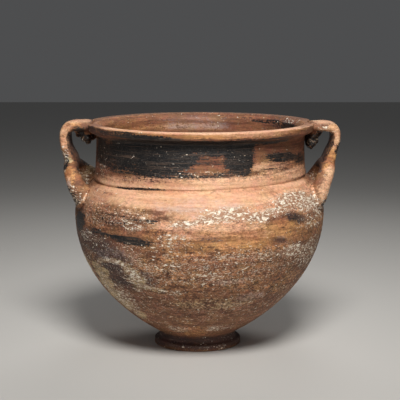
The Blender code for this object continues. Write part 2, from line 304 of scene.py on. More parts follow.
def swept(name, stations):
    """A closed skin through rings of points, capped at both ends."""
    ring = len(stations[0])
    points = [point for station in stations for point in station]
    faces = ring_faces(len(stations), ring)
    last = (len(stations) - 1) * ring
    faces.append(tuple(range(ring))[::-1])
    faces.append(tuple(range(last, last + ring)))
    return clay_object(name, points, faces)


def rounded_section(half_wide, half_thick):
    """A slab's rounded oblong section as (across, through) pairs."""
    section = []
    power = 2.0 / SLAB_SQUARENESS
    for corner in range(SLAB_CORNERS):
        angle = 2.0 * math.pi * corner / SLAB_CORNERS
        cosine, sine = math.cos(angle), math.sin(angle)
        section.append((half_wide * math.copysign(abs(cosine) ** power, cosine),
                        half_thick * math.copysign(abs(sine) ** power, sine)))
    return section


def soft_curve(stops, count):
    """Evenly spaced points on a smooth line through the stops."""
    stops = [Vector(stop) for stop in stops]
    fine = []
    for index in range(len(stops) - 1):
        p0 = stops[max(index - 1, 0)]
        p1, p2 = stops[index], stops[index + 1]
        p3 = stops[min(index + 2, len(stops) - 1)]
        for step in range(12):
            t = step / 12.0
            fine.append(0.5 * (2 * p1 + (p2 - p0) * t + (2 * p0 - 5 * p1 + 4 * p2 - p3) * t * t
                               + (3 * p1 - p0 - 3 * p2 + p3) * t ** 3))
    fine.append(stops[-1])
    run = np.concatenate([[0.0], np.cumsum([(b - a).length for a, b in zip(fine, fine[1:])])])
    wanted = np.linspace(0.0, run[-1], count)
    columns = [np.interp(wanted, run, [point[axis] for point in fine]) for axis in range(len(fine[0]))]
    return [Vector(values) for values in zip(*columns)]


def strap(name, side, stops):
    """Slab and strap, bent along stops of (reach, height, thickness, width)."""
    line = soft_curve(stops, STRAP_RINGS)
    stations = []
    for index, point in enumerate(line):
        before = line[max(index - 1, 0)]
        after = line[min(index + 1, len(line) - 1)]
        along = Vector((after[0] - before[0], after[1] - before[1])).normalized()
        ring = []
        for across, out in rounded_section(point[3] / 2, point[2] / 2):
            ring.append((side * (point[0] - along.y * out), across, point[1] + along.x * out))
        stations.append(ring if side > 0 else ring[::-1])
    return swept(name, stations)


def loop(name, side, reach, thick, front_drop, back_drop, bulge):
    """Rolled clay arch from the shoulder in front to the shoulder behind."""
    half = LEG_SPREAD / 2
    top = Vector((reach - LOOP_SET_BACK, NECK_BASE + LOOP_RISE))
    ends = []
    for drop in (front_drop, back_drop):
        height = NECK_BASE - drop
        ends.append(Vector((math.sqrt(float(wall_radius(height)) ** 2 - half ** 2), height)))
    power = 2.0 / LOOP_SQUARENESS
    line = []
    for step in range(ARCH_STEPS + 1):
        angle = math.pi * step / ARCH_STEPS
        across = -math.copysign(abs(math.cos(angle)) ** power, math.cos(angle))
        raised = max(math.sin(angle), 0.0) ** power
        root = ends[0].lerp(ends[1], (across + 1.0) / 2)
        point = root.lerp(top, raised)
        out = point.x + bulge * 4.0 * raised * (1.0 - raised)
        line.append((Vector((side * out, half * across, point.y)), raised))
    first = line[0][0] * 2 - line[1][0]
    last = line[-1][0] * 2 - line[-2][0]
    inner_first = line[0][0] + (first - line[0][0]).normalized() * LEG_DEPTH
    inner_last = line[-1][0] + (last - line[-1][0]).normalized() * LEG_DEPTH
    places = [inner_first] + [point for point, raised in line] + [inner_last]
    raises = [0.0] + [raised for point, raised in line] + [0.0]
    smooth = soft_curve(places, LOOP_RINGS)
    spine = kdtree.KDTree(len(places))
    for index, place in enumerate(places):
        spine.insert(place, index)
    spine.balance()
    stations = []
    guide = Vector((0.0, 0.0, 1.0))
    for index, point in enumerate(smooth):
        along = (smooth[min(index + 1, LOOP_RINGS - 1)] - smooth[max(index - 1, 0)]).normalized()
        first_side = along.cross(guide)
        if first_side.length < 0.2:
            first_side = along.cross(Vector((side, 0.0, 0.0)))
        first_side.normalize()
        second_side = first_side.cross(along).normalized()
        raised = raises[spine.find(point)[1]]
        radius = thick / 2 + ROOT_FLARE * (1.0 - raised) ** 2
        ring = []
        for corner in range(LOOP_CORNERS):
            angle = 2.0 * math.pi * corner / LOOP_CORNERS
            aside = first_side * (radius * math.cos(angle))
            ring.append(point + aside + second_side * (radius * math.sin(angle)))
        stations.append(ring)
    return swept(name, stations)


def dab(name, middle, half_sizes, lumpiness, seed, facing=(0.0, 0.0, 1.0)):
    """A rounded lump, uneven as if pressed on by hand; its last half size is along facing."""
    turn_to = Vector(facing).normalized().to_track_quat("Z", "Y")
    points = []
    for ring in range(DAB_RINGS + 1):
        polar = math.pi * ring / DAB_RINGS
        for step in range(DAB_CORNERS):
            turn = 2.0 * math.pi * step / DAB_CORNERS
            out = Vector((math.sin(polar) * math.cos(turn), math.sin(polar) * math.sin(turn),
                          math.cos(polar)))
            swell = 1.0 + lumpiness * noise.noise(out * 1.9 + Vector((seed, 0.0, 0.0)))
            sized = Vector([out[axis] * half_sizes[axis] * swell for axis in range(3)])
            points.append(Vector(middle) + turn_to @ sized)
    return clay_object(name, points, ring_faces(DAB_RINGS + 1, DAB_CORNERS, inward=True))


def finished_mesh(thing):
    """Keeps the mesh that an object's modifiers give and drops the modifiers."""
    graph = bpy.context.evaluated_depsgraph_get()
    mesh = bpy.data.meshes.new_from_object(thing.evaluated_get(graph))
    old = thing.data
    thing.modifiers.clear()
    thing.data = mesh
    bpy.data.meshes.remove(old)


def kneaded(name, lumps, unevenness, seed):
    """Several lumps of clay as one skin, smoothed over where they meet."""
    points = []
    faces = []
    for lump in lumps:
        start = len(points)
        points.extend(tuple(vertex.co) for vertex in lump.data.vertices)
        faces.extend(tuple(start + index for index in face.vertices) for face in lump.data.polygons)
        bpy.data.objects.remove(lump, do_unlink=True)
    whole = clay_object(name, points, faces)
    skin = whole.modifiers.new("one_skin", "REMESH")
    skin.mode = "VOXEL"
    skin.voxel_size = HANDLE_GRAIN
    rub = whole.modifiers.new("rubbed_smooth", "SMOOTH")
    rub.factor = 0.5
    rub.iterations = 9
    finished_mesh(whole)
    shift = Vector((seed, 0.0, 0.0))
    spots = [vertex.co.copy() for vertex in whole.data.vertices]
    normals = [vertex.normal.copy() for vertex in whole.data.vertices]
    for vertex, spot, normal in zip(whole.data.vertices, spots, normals):
        push = noise.noise(spot * KNEADING + shift) + 0.5 * noise.noise(spot * FINE_KNEADING + shift)
        vertex.co = spot + normal * push * unevenness
    return whole


def root_dab(name, side, front, drop, spread, swell, seed):
    """Slip and crust heaped round the end of a loop's leg, flat on the shoulder."""
    height = NECK_BASE - drop
    radius = float(wall_radius(height))
    across = math.copysign(LEG_SPREAD / 2, front)
    out = math.sqrt(radius ** 2 - across ** 2)
    facing = Vector((side * out / radius, across / radius, -wall_slope(height))).normalized()
    middle = Vector((side * out, across, height)) - facing * 0.003
    return dab(name, middle, (spread, spread, swell), 0.30, seed, facing)


LEFT_REACH = 0.2118
left_lumps = [
    strap("left_strap", -1, [
        (0.1620, 0.3341, 0.0150, 0.0700), (0.1780, 0.3341, 0.0150, 0.0670),
        (0.1905, 0.3340, 0.0152, 0.0655), (0.2000, 0.3305, 0.0152, 0.0645),
        (0.2032, 0.3215, 0.0152, 0.0635), (0.2026, 0.3120, 0.0156, 0.0630),
        (0.2014, 0.3030, 0.0158, 0.0620), (0.1988, 0.2955, 0.0170, 0.0610),
        (0.1957, 0.2890, 0.0188, 0.0600), (0.1930, 0.2820, 0.0205, 0.0585),
        (0.1920, 0.2765, 0.0208, 0.0560),
    ]),
    loop("left_loop", -1, LEFT_REACH, thick=0.0228, front_drop=0.0215, back_drop=0.0092, bulge=0.0024),
    dab("left_lump", (-0.1755, -0.0060, 0.3240), (0.0120, 0.0165, 0.0075), 0.5, 3.0),
    dab("left_lump_low", (-0.1700, -0.0080, 0.3160), (0.0075, 0.0120, 0.0085), 0.7, 5.0),
    dab("left_lump_side", (-0.1660, 0.0090, 0.3190), (0.0105, 0.0130, 0.0095), 0.5, 6.0),
    root_dab("left_front_root", -1, -1, drop=0.0250, spread=0.0200, swell=0.0065, seed=7.0),
    root_dab("left_back_root", -1, 1, drop=0.0085, spread=0.0230, swell=0.0085, seed=9.0),
]
left_handle = kneaded("left_handle", left_lumps, unevenness=0.00055, seed=1.0)

# Right handle: the same form in stouter clay, with a straighter strap and a heavier lump.
# It was rolled and pressed on by hand too, so it doesn't mirror the left one.
RIGHT_REACH = 0.2098
right_lumps = [
    strap("right_strap", 1, [
        (0.1620, 0.3332, 0.0138, 0.0690), (0.1780, 0.3332, 0.0138, 0.0665),
        (0.1905, 0.3331, 0.0140, 0.0650), (0.1996, 0.3298, 0.0138, 0.0635),
        (0.2027, 0.3215, 0.0136, 0.0625), (0.2023, 0.3120, 0.0137, 0.0620),
        (0.2002, 0.3030, 0.0143, 0.0615), (0.1976, 0.2960, 0.0156, 0.0610),
        (0.1952, 0.2890, 0.0180, 0.0600), (0.1932, 0.2820, 0.0205, 0.0590),
        (0.1915, 0.2755, 0.0215, 0.0570),
    ]),
    loop("right_loop", 1, RIGHT_REACH, thick=0.0237, front_drop=0.0225, back_drop=0.0195, bulge=0.0004),
    dab("right_lump", (0.1712, -0.0050, 0.3230), (0.0105, 0.0165, 0.0080), 0.5, 11.0),
    dab("right_lump_middle", (0.1680, -0.0060, 0.3140), (0.0085, 0.0140, 0.0095), 0.6, 12.0),
    dab("right_lump_low", (0.1642, -0.0080, 0.3085), (0.0075, 0.0115, 0.0085), 0.7, 13.0),
    dab("right_lump_side", (0.1650, 0.0100, 0.3140), (0.0105, 0.0130, 0.0110), 0.5, 14.0),
    root_dab("right_front_root", 1, -1, drop=0.0260, spread=0.0200, swell=0.0062, seed=15.0),
    root_dab("right_back_root", 1, 1, drop=0.0200, spread=0.0220, swell=0.0070, seed=17.0),
]
right_handle = kneaded("right_handle", right_lumps, unevenness=0.00050, seed=21.0)

# The whole pot: body and handles were fired together, so they are one piece of clay.
# Where they meet, the slip was wiped smooth with a finger. A core, which fills the middle
# of the pot, first cuts off what the handles would push through the wall.
CORE_TOP = POT_HEIGHT + 0.03
CORE_BASE = 0.1500
CORE_STEP = 0.0050
CORE_AROUND = 96
CORE_TURN = 0.37                # so that its edges don't fall on the wall's
HANDLE_ZONE = 0.1250            # the joints lie farther out than this on both sides
NEW_POINT = 0.000002            # farther than this from all old points, so made by joining
SEAM_REACH = 0.0095             # how far from a joint the wiping goes
SEAM_WIPES = 26
SEAM_RUB = 0.7                  # share of the way to its neighbours' middle at each wipe
SEAM_FULL = 1.6                 # above 1, so that points near the joint get all of it

pot = clay_object("krater", body_points, body_faces)
core_line = level_line(CORE_TOP, CORE_BASE, CORE_STEP)
core_points = []
for wall, height in core_line:
    radius = wall - WALL / 2
    for column in range(CORE_AROUND):
        turn = 2.0 * math.pi * (column + CORE_TURN) / CORE_AROUND
        core_points.append((radius * math.cos(turn), radius * math.sin(turn), height))
core_faces = ring_faces(len(core_line), CORE_AROUND, inward=True)
core_faces.append(tuple(range(CORE_AROUND)))
core_faces.append(tuple(range(len(core_points) - CORE_AROUND, len(core_points)))[::-1])
core = clay_object("core", core_points, core_faces)


def combine(thing, other, operation):
    step = thing.modifiers.new(operation.lower(), "BOOLEAN")
    step.operation = operation
    step.solver = "MANIFOLD"
    step.object = other
    finished_mesh(thing)


for handle in (left_handle, right_handle):
    combine(handle, core, "DIFFERENCE")
    combine(pot, handle, "UNION")
bpy.data.objects.remove(core, do_unlink=True)


def points_of(thing, what="co"):
    """The vertices' places, or their normals, as rows of three numbers."""
    found = np.empty(len(thing.data.vertices) * 3)
    thing.data.vertices.foreach_get(what, found)
    return found.reshape(-1, 3)


def nearest(wanted, given):
    """How far each wanted place is from the nearest given one."""
    finder = kdtree.KDTree(len(given))
    for index, place in enumerate(given):
        finder.insert(place, index)
    finder.balance()
    return np.array([finder.find(place)[2] for place in wanted])


before = np.concatenate([body_points, points_of(left_handle), points_of(right_handle)])
places = points_of(pot)
candidates = np.flatnonzero(np.abs(places[:, 0]) > HANDLE_ZONE)
fresh = candidates[nearest(places[candidates], before) > NEW_POINT]
beside_joint = nearest(places[candidates], places[fresh])
wipe = np.zeros(len(places))
wipe[candidates] = np.clip(1.0 - beside_joint / SEAM_REACH, 0.0, 1.0)
edges = np.empty(len(pot.data.edges) * 2, dtype=int)
pot.data.edges.foreach_get("vertices", edges)
edges = edges.reshape(-1, 2)
neighbours = np.zeros(len(places))
np.add.at(neighbours, edges[:, 0], 1.0)
np.add.at(neighbours, edges[:, 1], 1.0)
for wiping in range(SEAM_WIPES):
    total = np.zeros_like(places)
    np.add.at(total, edges[:, 0], places[edges[:, 1]])
    np.add.at(total, edges[:, 1], places[edges[:, 0]])
    middle = total / np.maximum(neighbours, 1.0)[:, None]
    places += (middle - places) * (SEAM_RUB * np.minimum(wipe * SEAM_FULL, 1.0))[:, None]
for handle in (left_handle, right_handle):
    bpy.data.objects.remove(handle, do_unlink=True)

pot.data.vertices.foreach_set("co", places.ravel())
pot.data.update()
outward = points_of(pot, "normal")

# Crust: lime and soil that burial left on the clay, thickest on the handle roots.
# Black slip: the thin gloss that the potter brushed over neck and rim, now worn through.
# Each is kept as a soft map over the surface, painted here one mark at a time.
CLEAR_OF_WALL = 0.0028          # what stands farther out than this from the wall is a handle
CLEAR_OF_LIP = 0.0012
PLATE_START = 0.012             # how far in from the lip's edge a handle's plate reaches
PLATE_RISE = 0.0004             # and how far above the lip it starts
HANDLE_START = 0.118            # both handles lie farther out to the side than this
HANDLE_HALF_WIDTH = 0.085
INSIDE_DEPTH = 0.0035           # what lies farther in than this from the wall is the inside
MOUTH_DEPTH = 0.012             # the lip's slope down into the mouth counts as the inside too
MOUTH_EDGE = mouth_radius + 0.0005
UNDERSIDE_TOP = 0.012           # what lies lower than this isn't the inside but the underside
FADE_END = 1.45                 # a mark has faded out at this many half widths
FADE = 0.9                      # and fades over this many
ROUND = 400                     # a half width that goes right round the pot

azimuth = np.degrees(np.arctan2(places[:, 0], -places[:, 1]))
reach = np.hypot(places[:, 0], places[:, 1])
level = places[:, 2] * 1000.0
climbed = GROOVE_TILT * np.sin(np.radians(azimuth)) * reach * bell(places[:, 2], NECK_BASE, CLIMB_BAND)
plain_radius = wall_radius(places[:, 2] - climbed)
lip_zone = places[:, 2] > NECK_TOP
on_handle = (reach > plain_radius + CLEAR_OF_WALL) & ~(lip_zone & (reach < LIP_RADIUS + CLEAR_OF_LIP))
on_handle |= (reach > LIP_RADIUS - PLATE_START) & (places[:, 2] > POT_HEIGHT + PLATE_RISE)
on_handle &= (np.abs(places[:, 0]) > HANDLE_START) & (np.abs(places[:, 1]) < HANDLE_HALF_WIDTH)
within = (reach < plain_radius - INSIDE_DEPTH) & (places[:, 2] > UNDERSIDE_TOP)
within |= (reach < MOUTH_EDGE) & (places[:, 2] > POT_HEIGHT - MOUTH_DEPTH)
outer_wall = ~on_handle & ~within


def soft_edge(distance):
    share = np.clip((FADE_END - distance) / FADE, 0.0, 1.0)
    return share * share * (3.0 - 2.0 * share)


def painted(where, marks):
    """A map over the wall: marks of (azimuth, height, half width, half height, strength, slant).

    Angles are in degrees, lengths in millimetres, and a mark without a slant lies level."""
    layer = np.zeros(len(places))
    for mark in marks:
        middle, height, wide, tall, strength, slant = (mark + (0.0,))[:6]
        turn = (azimuth - middle + 180.0) % 360.0 - 180.0
        drop = (level - height - slant * turn) / tall
        layer = np.maximum(layer, soft_edge(np.hypot(turn / wide, drop)) * strength)
    return np.where(where, layer, 0.0)


def spotted(where, marks):
    """A map over the handles: marks of (x, y, z, size, strength), in millimetres."""
    layer = np.zeros(len(places))
    spots = places * 1000.0
    for x, y, z, size, strength in marks:
        away = np.sqrt(((spots - (x, y, z)) ** 2).sum(axis=1)) / size
        layer = np.where(where, np.maximum(layer, soft_edge(away) * strength), layer)
    return layer


# Other maps: thin slip is worn to a brown film, pale and ochre are tones of the clay, with a painted
# highlight along the lip's top, stain is dark and also painted shade, tan is khaki soil, grit is how
# speckled the clay is, and bloom is a lilac haze and also a painted highlight on the shoulder.
# Black: slip, and one painted shadow, the mark at -70 degrees down the shoulder's left edge.
black = painted(outer_wall, [
    (-30, 305, 26, 20, 1.0), (-45, 307, 13, 19, 1.0), (-13, 306, 13, 20, 1.0),
    (-26, 285, 20, 12, 0.78, -0.1), (-37, 287, 13, 10.5, 0.84, -0.3), (-14, 321, 44, 7.5, 1.0),
    (6, 315, 14, 10, 1.0), (14, 320, 15, 7, 1.0), (20, 302, 8.5, 25, 0.95), (23.5, 296, 5, 22, 0.85),
    (23, 314, 5.5, 12, 1.0), (4, 298, 8, 12, 0.34), (40, 322, 16, 3.5, 0.66),
    (50, 297, 15, 8, 0.76, -0.2), (69, 291, 10, 9, 0.68), (-52, 290, 14, 14, 0.66),
    (-44, 285, 11, 10, 0.74, -0.2), (-66, 302, 12, 24, 0.74), (-14, 277, 32, 5, 0.56, 0.02),
    (16, 279, 12, 4.5, 0.56), (-33, 256.5, 16, 2.2, 0.68, 0.12), (-34, 271, 18, 3.6, 0.38, -0.1),
    (46, 284, 16, 6, 0.4), (-42, 333, 20, 5.5, 0.56), (-26, 330, 18, 4.5, 0.9), (6, 324, 30, 4.2, 0.95),
    (40, 327, 18, 2.8, 0.5), (14, 330, 26, 2, 0.38), (-32, 187, 13, 6.5, 0.78, -0.22),
    (-50, 192, 10, 4.5, 0.68, -0.2), (-21, 217, 3.4, 3.2, 0.66), (-28, 216, 3, 3, 0.46),
    (-70, 199, 8, 17, 0.76, 0.4), (-40, 214, 15, 9, 0.38), (46, 215, 5, 6, 0.48, -0.8),
    (180, 300, 70, 18, 0.88), (140, 318, 50, 7, 0.85), (-140, 318, 44, 8, 0.9), (120, 292, 22, 20, 0.7),
    (-112, 290, 22, 22, 0.8), (162, 276, 26, 9, 0.62), (-150, 274, 24, 8, 0.55),
    (170, 331, 40, 5, 0.66), (-125, 333, 22, 5, 0.72), (128, 200, 10, 12, 0.6, 0.3),
    (-160, 206, 12, 5, 0.62, 0.2), (-118, 188, 9, 8, 0.65), (88, 300, 10, 16, 0.62),
    (170, 180, 14, 5, 0.6, 0.1),
])
black = np.maximum(black, painted(within, [
    (132, 330, 16, 3.2, 0.62), (112, 326, 14, 5.5, 0.72), (-118, 316, 10, 3, 0.66),
    (-142, 311, 13, 2.6, 0.66), (150, 334, 7, 3, 0.46), (20, 312, 30, 14, 0.6),
    (-60, 306, 25, 12, 0.55),
]))
thin_slip = painted(outer_wall, [
    (0, 305, 64, 20, 0.85), (58, 310, 24, 16, 0.72), (0, 327, ROUND, 3, 0.7), (-66, 330, 20, 9, 0.9),
    (66, 331, 18, 7, 0.5), (180, 300, 116, 28, 0.8), (-34, 270, 22, 8, 0.4), (180, 331, 110, 7, 0.75),
    (-66, 290, 18, 30, 0.7), (-56, 226, 20, 15, 0.46), (-32, 208, 18, 10, 0.4),
    (-58, 243, 18, 11, 0.38), (-36, 176, 20, 10, 0.4),
])
bald = painted(outer_wall, [(38, 288, 14, 13, 1.0)])
thin_slip = thin_slip * (1.0 - 0.75 * bald)        # here the slip has gone altogether
thin_slip = np.maximum(thin_slip, painted(within, [
    (180, 330, 110, 12, 0.62), (128, 328, 34, 10, 0.8), (152, 324, 18, 14, 0.7),
    (180, 300, ROUND, 16, 0.6), (-110, 326, 16, 12, 0.55),
]))
# Pale: clay tones; the thin band along the lip's top at 338.6 mm is a painted highlight on pale clay.
pale = painted(outer_wall, [
    (4, 244, 50, 14, 0.95), (-30, 242, 30, 10, 0.8), (28, 234, 26, 13, 0.85),
    (6, 263, 54, 7.5, 0.9, 0.02), (0, 338.6, 66, 1.6, 1.0), (4, 269, 52, 7, 0.9),
    (-48, 252, 18, 11, 0.95), (-34, 262, 20, 5, 0.85), (54, 254, 18, 10, 0.9), (6, 226, 18, 10, 0.95),
    (30, 335, 20, 3, 0.6), (-6, 211, 16, 9, 0.75), (14, 210, 18, 8, 0.66), (-2, 198, 18, 8, 0.42),
    (62, 272, 22, 9, 0.8), (40, 286, 14, 10, 0.55), (-34, 222, 20, 10, 0.3), (180, 243, 80, 13, 0.8),
    (180, 262, 80, 6, 0.7), (62, 238, 24, 18, 0.86), (-52, 262, 20, 8, 0.8), (-6, 226, 10, 8, 0.6),
    (-62, 238, 18, 14, 0.74), (-52, 222, 18, 8, 0.34), (17, 199, 20, 9, 0.36),
])
# Inside, the band along the lip's top is a painted highlight on pale clay too.
pale = np.maximum(pale, painted(within, [
    (-176, 325, 26, 18, 0.46), (0, 338.6, 70, 1.6, 0.9),
]))
ochre = painted(outer_wall, [
    (14, 196, 24, 15, 0.9), (38, 200, 20, 15, 0.8), (-62, 214, 18, 20, 0.18), (4, 335, 42, 3.6, 1.0),
    (44, 335, 24, 3.4, 0.9), (-60, 329, 10, 2, 0.7), (-10, 198, 14, 16, 0.62), (66, 192, 24, 22, 0.62),
    (-40, 206, 22, 10, 0.24), (24, 184, 12, 6, 0.9), (10, 288, 9, 8, 0.5), (46, 286, 24, 11, 0.32),
    (34, 300, 8, 14, 0.45), (175, 196, 60, 16, 0.7), (-135, 215, 25, 16, 0.6), (180, 335, 60, 3, 0.6),
    (0, 150, 44, 20, 0.42), (36, 120, 28, 26, 0.42), (4, 116, 30, 16, 0.34), (10, 178, 36, 13, 0.5),
    (-8, 183, 16, 8, 0.62), (-4, 38, 14, 12, 0.55), (0, 4, ROUND, 4, 0.34),
])
ochre = np.maximum(ochre, painted(within, [
    (-128, 326, 30, 14, 0.74), (146, 328, 18, 12, 0.66), (180, 322, ROUND, 20, 0.45),
    (180, 250, ROUND, 60, 0.4),
]))
# Stain: dark soil; the mark right round the foot is painted shade under the bowl as well as the foot's
# own dark brown.
stain_and_shade = painted(outer_wall, [
    (-56, 176, 18, 20, 0.75), (-45, 150, 13, 26, 0.9), (-38, 128, 18, 20, 0.8),
    (-66, 300, 14, 24, 0.75), (-68, 333, 16, 7, 0.6), (47, 214, 8, 8, 0.75, -0.8),
    (37, 186, 5, 5, 0.75, -0.6), (66, 176, 16, 22, 0.34), (-14, 182, 16, 6, 0.4),
    (0, 100, 40, 26, 0.28), (50, 198, 10, 10, 0.35), (40, 140, 30, 24, 0.24), (-95, 160, 30, 40, 0.7),
    (130, 170, 30, 30, 0.6), (-150, 130, 30, 30, 0.55), (0, 12, ROUND, 10, 0.95),
    (60, 262, 10, 4, 0.35), (2, 153, 28, 9, 0.4), (-42, 208, 18, 8, 0.34), (4, 193, 7, 3.5, 0.52),
    (180, 338.6, 92, 2, 0.5),
])
stain_and_shade = np.maximum(stain_and_shade, painted(within, [(116, 326, 26, 14, 0.62)]))
tan = painted(outer_wall, [
    (-60, 136, 5, 8, 0.9, 0.6), (-57, 127, 8, 10, 1.0, 0.6), (-59, 110, 9, 11, 1.0, 0.6),
    (-58, 93, 9, 11, 0.9, 0.6), (-53, 76, 9, 10, 0.8, 0.6), (-48, 60, 9, 9, 0.62, 0.5),
    (-78, 124, 8, 24, 0.76, 0.9), (-92, 142, 9, 8, 0.62, 0.6), (-97, 122, 12, 7, 0.66, -0.4),
    (-88, 104, 12, 8, 0.62, 0.5), (-104, 92, 10, 5, 0.5, 0.2), (8, 92, 26, 12, 0.46),
    (-10, 146, 14, 6, 0.35), (110, 120, 20, 30, 0.6), (170, 110, 26, 26, 0.6),
    (-50, 150, 5, 4, 0.75, 0.2), (-42, 152.5, 6, 4, 0.8), (-36, 148, 4, 5, 0.75),
    (-33, 138, 5, 8, 0.85), (-31, 128, 5.5, 8, 0.9), (-30, 117, 6, 5, 0.75), (-22, 114, 7, 4, 0.6),
])
stain_and_shade = stain_and_shade * (1.0 - 0.75 * tan)        # khaki soil lies over the stain
crust = painted(outer_wall, [
    (50, 238, 16, 12, 1.0), (62, 230, 14, 12, 0.95), (36, 226, 11, 8, 0.9, 0.2),
    (26, 222, 9, 8, 0.9, -0.2), (14, 226, 9, 9, 0.92, 0.4), (4, 221, 8, 7, 0.95, 0.4),
    (12, 230, 12, 8, 0.8, 0.2), (-6, 214, 8, 5, 0.95, 0.4), (74, 224, 14, 16, 0.95),
    (64, 204, 14, 14, 0.66), (-34, 218, 17, 12, 0.46), (-54, 214, 14, 14, 0.36), (-30, 208, 6, 7, 0.75),
    (48, 166, 9, 12, 0.92), (20, 164, 26, 12, 0.56), (-12, 190, 9, 12, 0.66), (-60, 182, 12, 10, 0.58),
    (-55, 146, 4, 4, 0.9, 0.5), (-49, 150, 4.5, 3, 0.95, 0.2), (-42, 152, 4.5, 3, 1.0),
    (-37, 149, 3, 3.5, 0.9, -0.4), (-34, 139, 3.5, 6, 1.0), (-31, 131, 4, 7, 1.0),
    (-36, 124, 3.5, 4, 0.9), (-29, 118, 4.5, 4, 0.92), (-22, 115, 5, 3, 0.8), (-32, 111, 4, 3, 0.8),
    (-62, 235, 16, 12, 0.38), (64, 156, 12, 26, 0.76), (0, 138, 56, 16, 0.46), (-8, 150, 24, 8, 0.56),
    (6, 138, 6, 6, 0.85), (-14, 112, 10, 5, 0.62), (-66, 290, 10, 26, 0.5), (19, 298, 9, 11, 0.26),
    (-14, 292, 9, 10, 0.26), (-14, 5, 9, 3, 0.62), (8, 5, 8, 3, 0.56), (33, 6, 9, 4, 0.62),
    (0, 10, ROUND, 10, 0.12), (-18, 40, 12, 8, 0.66), (20, 42, 14, 7, 0.66), (0, 156, ROUND, 30, 0.33),
    (0, 90, ROUND, 44, 0.27), (-50, 84, 11, 30, 0.76, 0.8), (-58, 108, 7, 22, 0.7, 0.9),
    (120, 220, 26, 16, 0.85), (-110, 225, 22, 16, 0.8), (175, 220, 30, 12, 0.6),
    (150, 160, 36, 22, 0.7), (-150, 165, 30, 22, 0.65), (0, 279, 30, 6, 0.36),
])
crust = np.maximum(crust, painted(within, [
    (112, 335, 10, 5, 0.5), (180, 130, ROUND, 60, 0.34),
]))
grit = painted(outer_wall, [
    (0, 120, ROUND, 60, 1.0), (60, 232, 30, 20, 1.0), (0, 208, 40, 16, 0.5), (-50, 212, 30, 22, 1.0),
    (0, 276, ROUND, 8, 0.55), (66, 196, 24, 26, 0.8), (0, 36, ROUND, 24, 0.6), (-60, 290, 22, 26, 0.8),
    (60, 290, 24, 26, 0.5), (0, 328, ROUND, 4, 0.6), (180, 220, 100, 16, 0.9),
])
grit = np.maximum(grit, np.where(on_handle, 0.35, 0.12))
# Bloom: a lilac haze; the first four marks, on the shoulder's front, and the small one at 38 degrees are
# a painted highlight.
bloom_and_highlight = painted(outer_wall, [
    (-8, 234, 14, 5, 0.6), (12, 238, 12, 5, 0.45), (-4, 241, 20, 9, 0.42), (6, 228, 18, 9, 0.4),
    (38, 190, 4, 3, 0.5, -0.6), (-14, 300, 9, 9, 0.3), (10, 80, 24, 16, 0.22), (-40, 160, 16, 16, 0.4),
    (14, 128, 10, 5, 0.5), (30, 100, 12, 8, 0.5),
])
bloom_and_highlight = np.maximum(bloom_and_highlight, painted(within, [
    (-170, 317, 12, 4, 0.7), (172, 315, 12, 4, 0.75), (-178, 326, 24, 10, 0.36),
]))

# The handles' own marks: bright orange where hands rubbed them, black cracks and crust at
# the joints and roots, and painted shade, in stain and black, on the sides that face the pot.
crust = np.maximum(crust, spotted(on_handle, [
    (-174, -16, 322, 12, 0.75), (-168, -10, 312, 12, 0.8), (-206, -30, 276, 6, 0.9),
    (-200, -34, 270, 8, 0.8), (-190, -52, 240, 13, 0.9), (-184, -52, 228, 16, 1.0),
    (-176, -54, 216, 18, 1.0), (-190, 45, 250, 26, 0.6), (-178, 50, 250, 22, 0.6),
    (-204, -30, 298, 10, 0.62), (-205, -28, 288, 10, 0.7), (174, -16, 318, 14, 0.8),
    (167, -12, 306, 14, 0.8), (174, -18, 310, 6, 1.0), (178, -16, 325, 10, 0.8),
    (184, -30, 329, 10, 0.62), (196, -46, 238, 12, 0.34), (190, -50, 226, 16, 0.85),
    (184, -52, 214, 20, 0.8), (186, 48, 238, 26, 0.6), (206, 26, 300, 16, 0.5),
    (-206, 26, 300, 16, 0.55), (-200, 30, 332, 16, 0.4), (200, 30, 330, 18, 0.45),
]))
# The black marks on the lumps under the slabs are black slip and painted shade.
black = np.maximum(black, spotted(on_handle, [
    (-184, -30, 329, 9, 0.62), (-178, -26, 328, 10, 0.74), (-174, -16, 318, 14, 0.66),
    (-166, -8, 308, 14, 0.66), (-200, -36, 286, 9, 0.66), (-198, -34, 274, 8, 0.66),
    (-186, -50, 232, 15, 0.58), (-180, -54, 218, 15, 0.56), (-194, -52, 243, 8, 0.5),
    (172, -12, 314, 17, 0.64), (166, -8, 303, 15, 0.64), (186, -52, 220, 13, 0.55),
    (178, -24, 326, 9, 0.6), (205, -26, 306, 7, 0.62), (203, -26, 298, 6, 0.6),
    (-205, 30, 310, 18, 0.5), (205, 34, 312, 18, 0.5), (-190, 44, 262, 16, 0.46),
    (190, 46, 258, 14, 0.44), (-192, 10, 340, 8, 0.46),
]))
ochre = np.maximum(ochre, spotted(on_handle, [
    (-205, -30, 324, 20, 0.95), (-208, -32, 306, 12, 0.8), (-200, -48, 262, 18, 1.0),
    (-186, -32, 333, 12, 0.8), (-194, -52, 252, 12, 0.9), (205, -28, 318, 24, 1.0),
    (203, -30, 296, 18, 1.0), (203, -46, 276, 20, 1.0), (-200, 40, 280, 20, 0.6),
    (200, 40, 280, 20, 0.6), (-208, 20, 320, 26, 0.6), (208, 20, 320, 26, 0.6),
]))
pale = np.maximum(pale, spotted(on_handle, [
    (-185, 0, 341, 30, 0.66), (-205, -30, 320, 22, 0.66), (-206, -34, 272, 7, 0.85),
    (-200, -56, 256, 10, 0.7), (190, 0, 340, 30, 0.7), (203, -46, 268, 17, 1.0),
    (197, -50, 250, 17, 1.0), (190, -52, 238, 17, 1.0), (196, -32, 332, 14, 0.45),
    (205, -28, 318, 20, 0.66),
]))
